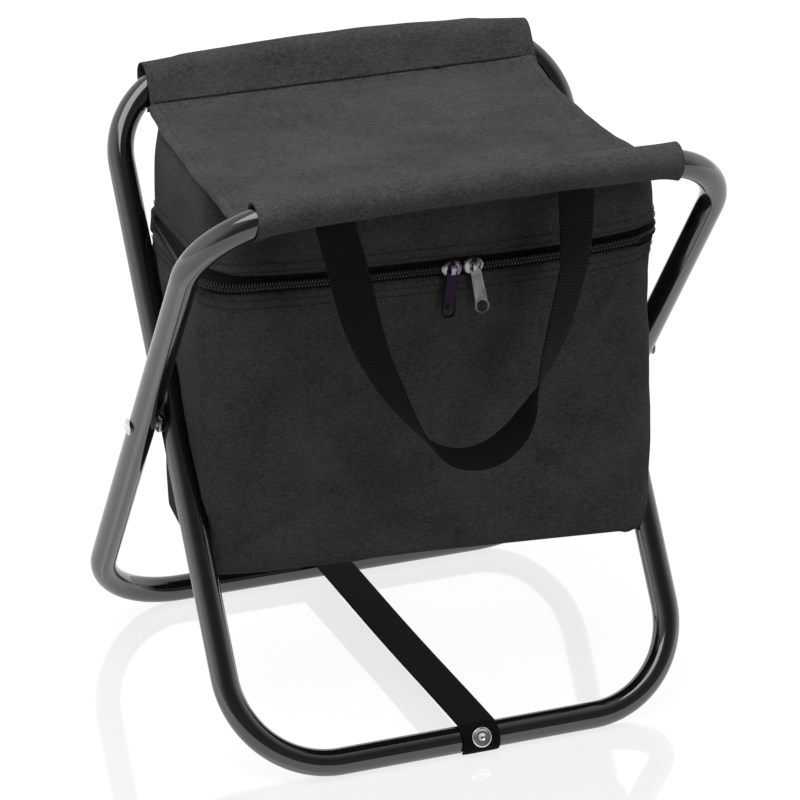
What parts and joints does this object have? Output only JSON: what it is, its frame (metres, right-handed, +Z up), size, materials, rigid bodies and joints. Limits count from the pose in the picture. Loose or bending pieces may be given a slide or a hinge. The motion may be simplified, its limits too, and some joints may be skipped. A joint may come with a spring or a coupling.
{
  "type": "folding cooler stool",
  "caption": "Folding camp stool: crossed steel tube loops joined by a floor strap, a sling seat, and a zipped insulated bag hanging under the seat, with webbing carry handles.",
  "frame": {"origin": "on the floor, under the middle of the stool", "axes": "+Z up, front of the stool towards -Y, +X to the right as seen from the front"},
  "size_m": [0.3348, 0.269, 0.366],
  "materials": {
    "frame_paint": "gloss",
    "bare_steel": "satin",
    "bright_steel": "polished",
    "seat_cloth": "matte",
    "bag_cloth": "matte",
    "insulating_foam": "matte",
    "foil_liner": "gloss",
    "zip_tape": "matte",
    "zip_coil": "satin",
    "webbing": "matte",
    "dark_zip_metal": "satin",
    "bright_zip_metal": "satin"
  },
  "bodies": {
    "outer_frame": {"outer_frame_tube": "frame_paint", "outer_frame_plug": "bare_steel", "front_sleeve": "seat_cloth", "rear_strap_end": "webbing", "rear_strap_rivet": "bright_steel", "left_pivot_rivet": "bright_steel", "right_pivot_rivet": "bright_steel", "left_pivot_spacer": "bare_steel", "right_pivot_spacer": "bare_steel", "seat_panel": "seat_cloth", "strap_span": "webbing"},
    "inner_frame": {"inner_frame_tube": "frame_paint", "inner_frame_plug": "bare_steel", "rear_sleeve": "seat_cloth", "front_strap_end": "webbing", "front_strap_rivet": "bright_steel"},
    "bag": {"bag_collar": "bag_cloth", "bag_back_strip": "bag_cloth", "lid_foam": "insulating_foam", "lid_liner": "foil_liner", "upper_zip_tape": "zip_tape", "upper_zip_coil": "zip_coil"},
    "tub": {"tub_shell": "bag_cloth", "tub_foam": "insulating_foam", "tub_liner": "foil_liner", "lower_zip_tape": "zip_tape", "lower_zip_coil": "zip_coil"},
    "left_slider": {"left_zip_slider": "dark_zip_metal"},
    "right_slider": {"right_zip_slider": "bright_zip_metal"},
    "left_pull": {"left_zip_pull": "dark_zip_metal"},
    "right_pull": {"right_zip_pull": "bright_zip_metal"},
    "front_handle": {"front_handle": "webbing"},
    "rear_handle": {"rear_handle": "webbing"}
  },
  "joints": [
    {"name": "fold", "type": "hinge", "parent": "outer_frame", "child": "inner_frame", "pos_m": [0, 0, 0.1822], "axis": [1, 0, 0], "range_deg": [0, 58], "deforming": ["seat_panel", "strap_span", "bag_collar", "bag_back_strip", "lid_foam", "lid_liner", "upper_zip_tape", "lower_zip_tape", "upper_zip_coil", "lower_zip_coil", "tub_shell", "tub_foam", "tub_liner"]},
    {"name": "bag_follow", "type": "hinge", "parent": "outer_frame", "child": "bag", "pos_m": [0, 0, 0.1822], "axis": [1, 0, 0], "range_deg": [0, 30]},
    {"name": "tub_open", "type": "hinge", "parent": "bag", "child": "tub", "pos_m": [0, 0.067, 0.272], "axis": [1, 0, 0], "range_deg": [0, 18]},
    {"name": "left_slide", "type": "slide", "parent": "bag", "child": "left_slider", "axis": [0.9966, -0.0827, 0], "range_m": [-0.115, 0]},
    {"name": "right_slide", "type": "slide", "parent": "bag", "child": "right_slider", "axis": [0.9966, -0.0827, 0], "range_m": [0, 0.073]},
    {"name": "left_pull_swing", "type": "hinge", "parent": "left_slider", "child": "left_pull", "pos_m": [0.01359, -0.06264, 0.2795], "axis": [-0.9966, 0.0827, 0], "range_deg": [0, 110]},
    {"name": "right_pull_swing", "type": "hinge", "parent": "right_slider", "child": "right_pull", "pos_m": [0.02759, -0.06381, 0.2795], "axis": [-0.9966, 0.0827, 0], "range_deg": [0, 110]},
    {"name": "front_handle_swing", "type": "hinge", "parent": "outer_frame", "child": "front_handle", "pos_m": [0, -0.10322, 0.33865], "axis": [-1, 0, 0], "range_deg": [-12, 80]},
    {"name": "rear_handle_swing", "type": "hinge", "parent": "inner_frame", "child": "rear_handle", "pos_m": [0, 0.10322, 0.33865], "axis": [1, 0, 0], "range_deg": [-12, 80]}
  ],
  "couplings": [
    {"joint": "bag_follow", "follows": "fold", "ratio": 0.5}
  ]
}
